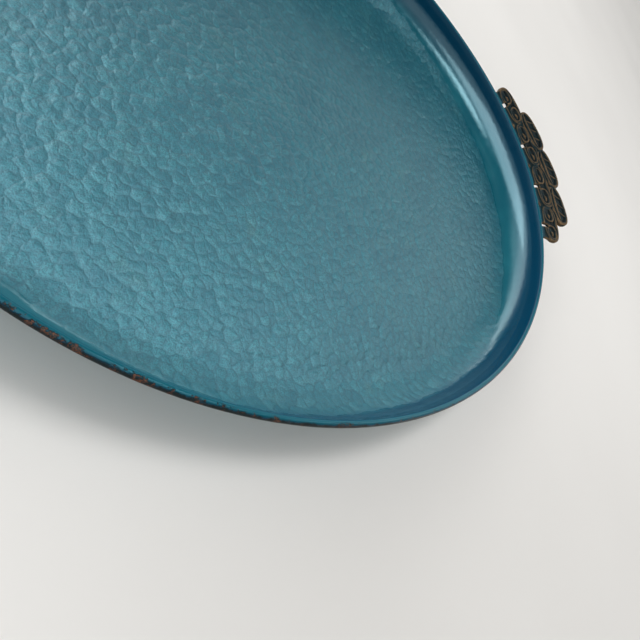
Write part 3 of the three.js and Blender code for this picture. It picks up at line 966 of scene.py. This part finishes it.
def build_camera():
    """The camera, close over the tray's end and turned well over on its side."""
    yaw, pitch, roll = CAMERA_YAW, CAMERA_PITCH, CAMERA_ROLL
    forward = Vector((math.sin(yaw) * math.cos(pitch), math.cos(yaw) * math.cos(pitch), -math.sin(pitch)))
    level = Vector((math.cos(yaw), -math.sin(yaw), 0))
    above = level.cross(forward)
    right = math.cos(roll) * level + math.sin(roll) * above
    up = -math.sin(roll) * level + math.cos(roll) * above
    data = bpy.data.cameras.new("camera")
    data.lens = CAMERA_LENS
    data.clip_start = 0.01
    made = bpy.data.objects.new("camera", data)
    turn = Matrix((right, up, -forward)).transposed().to_4x4()
    made.matrix_world = Matrix.Translation(CAMERA_PLACE) @ turn
    bpy.context.scene.collection.objects.link(made)
    bpy.context.scene.camera = made


def direction(azimuth, elevation):
    """A unit vector from an azimuth (from +X towards +Y) and an elevation, in degrees."""
    a, e = math.radians(azimuth), math.radians(elevation)
    return Vector((math.cos(a) * math.cos(e), math.sin(a) * math.cos(e), math.sin(e)))


def softbox(name, middle, aim, size, radiance, fade=0.0, gloss_only=False, matt_only=False):
    """A rectangular light with soft edges at a place, facing another, powered for its radiance."""
    data = bpy.data.lights.new(name, "AREA")
    data.shape = "RECTANGLE"
    data.size, data.size_y = size
    data.energy = radiance * math.pi * size[0] * size[1]
    if fade:
        data.use_nodes = True
        tree = data.node_tree
        spot = add(tree, "SeparateXYZ", {0: add(tree, "NewGeometry").outputs["Parametric"]})
        level = 1.0
        for key in ("X", "Y"):
            inwards = maths(tree, "SUBTRACT", 0.5, maths(tree, "ABSOLUTE",
                            maths(tree, "SUBTRACT", spot.outputs[key], 0.5), 0.0))
            level = maths(tree, "MULTIPLY", level, ranged(tree, inwards, 0.0, fade))
        tree.links.new(level, tree.nodes["Emission"].inputs["Strength"])
    made = bpy.data.objects.new(name, data)
    made.location = middle
    made.rotation_mode = "QUATERNION"
    made.rotation_quaternion = (Vector(middle) - Vector(aim)).to_track_quat("Z", "Y")
    made.visible_camera = False
    made.visible_diffuse = not gloss_only
    made.visible_glossy = not matt_only
    bpy.context.scene.collection.objects.link(made)


def build_lights():
    """A key light high on the far side, and three lights that only show in gloss."""
    middle = (0, 0, 0)
    softbox("key_light", direction(*KEY_DIRECTION) * LIGHTS_AWAY, middle, KEY_SIZE, KEY_RADIANCE,
            matt_only=True)
    softbox("sheen_light", direction(*SHEEN_DIRECTION) * LIGHTS_AWAY, middle, SHEEN_SIZE, SHEEN_RADIANCE,
            gloss_only=True)
    softbox("near_light", NEAR_PLACE, NEAR_AIM, NEAR_SIZE, NEAR_RADIANCE, fade=0.25, gloss_only=True)
    softbox("panel_light", PANEL_PLACE, PANEL_AIM, PANEL_SIZE, PANEL_RADIANCE, fade=0.1, gloss_only=True)


def build_world():
    """A pale room: brighter on the far side and low down, dim overhead and in one quarter."""
    world = bpy.data.worlds.new("studio")
    world.use_nodes = True
    tree = world.node_tree
    place = add(tree, "TexCoord").outputs["Generated"]
    spot = add(tree, "SeparateXYZ", {0: place})
    sides = ranged(tree, spot.outputs["Y"], 0.3, 0.8, ROOM_SIDES, ROOM_SIDES * ROOM_FAR)
    towards = add(tree, "VectorMath", {0: place, 1: direction(*DIM_QUARTER)}, operation="DOT_PRODUCT")
    dim = ranged(tree, towards.outputs["Value"], math.cos(DIM_START), math.cos(DIM_FULL), 1.0, 0.0)
    sides = maths(tree, "MULTIPLY", maths(tree, "SUBTRACT", sides, ROOM_OVERHEAD), dim)
    low = ranged(tree, spot.outputs["Z"], 0.84, 0.60)
    low = maths(tree, "ADD", low, ranged(tree, spot.outputs["Z"], 0.56, 0.36, 0.0, ROOM_LOW))
    level = maths(tree, "ADD", maths(tree, "MULTIPLY", sides, low), ROOM_OVERHEAD)
    tree.links.new(level, tree.nodes["Background"].inputs["Strength"])
    tree.nodes["Background"].inputs["Color"].default_value = (1.0, 0.995, 0.98, 1)
    bpy.context.scene.world = world


def build_floor():
    """A plain pale table top."""
    material, tree, shader = new_material("pale_table")
    colour = blend(tree, ranged(tree, grain(tree, 3.0, 2.0), 0.3, 0.7), TABLE_DARKER, TABLE_PALER)
    finish_shader(tree, shader, colour, 0.55, 0.0, bump(tree, grain(tree, 400.0, 2.0), 0.05, 0.0002))
    signs = ((-1, -1), (1, -1), (1, 1), (-1, 1))
    corners = [(x * TABLE_HALF, y * TABLE_HALF, TABLE_HEIGHT) for x, y in signs]
    make_object("table_top", corners, [(0, 1, 2, 3)], material)


# ---------------------------------------------------------------- assembly

def rim_chips(shell):
    """Stores how chipped the rim is at each vertex: most along one stretch of it."""
    points = np.empty(len(shell.data.vertices) * 3)
    shell.data.vertices.foreach_get("co", points)
    points = points.reshape(-1, 3) / MM
    angle = np.degrees(np.arctan2(points[:, 1] / RIM_HALF_WIDTH, points[:, 0] / RIM_HALF_LENGTH))
    away = (angle - CHIPPED_MIDDLE + 180) % 360 - 180
    chipped = CHIPPED_LEAST + (1 - CHIPPED_LEAST) * np.exp(-(away / CHIPPED_REACH) ** 2)
    layer = shell.data.attributes.new("chipped", "FLOAT", "POINT")
    layer.data.foreach_set("value", chipped.astype(np.float32))


def stand_for(piece, node):
    """The piece rides on the tray and stands for a CAD node."""
    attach(piece, "root")
    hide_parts(node)


build_camera()
build_world()
build_lights()
build_floor()

shell = build_shell(glaze_material("teal_glaze", GLOSS_INSIDE),
                    glaze_material("teal_glaze_wall", GLOSS_WALL))
rim_chips(shell)
stand_for(shell, "tray_shell")
stand_for(build_wire(wire_material()), "rim_wire")
right_handle, left_handle = build_handles(casting_material())
stand_for(right_handle, "handle_right")
stand_for(left_handle, "handle_left")
braze = braze_material()
for side, turn in (("right", 0.0), ("left", math.pi)):
    for i, middle in enumerate(spread(LEAFLETS, LEAFLET_PITCH)):
        run = build_braze(side, turn, i + 1, middle, braze)
        stand_for(run, f"braze_{side}_{i + 1}")

bpy.context.scene.view_settings.view_transform = "Standard"
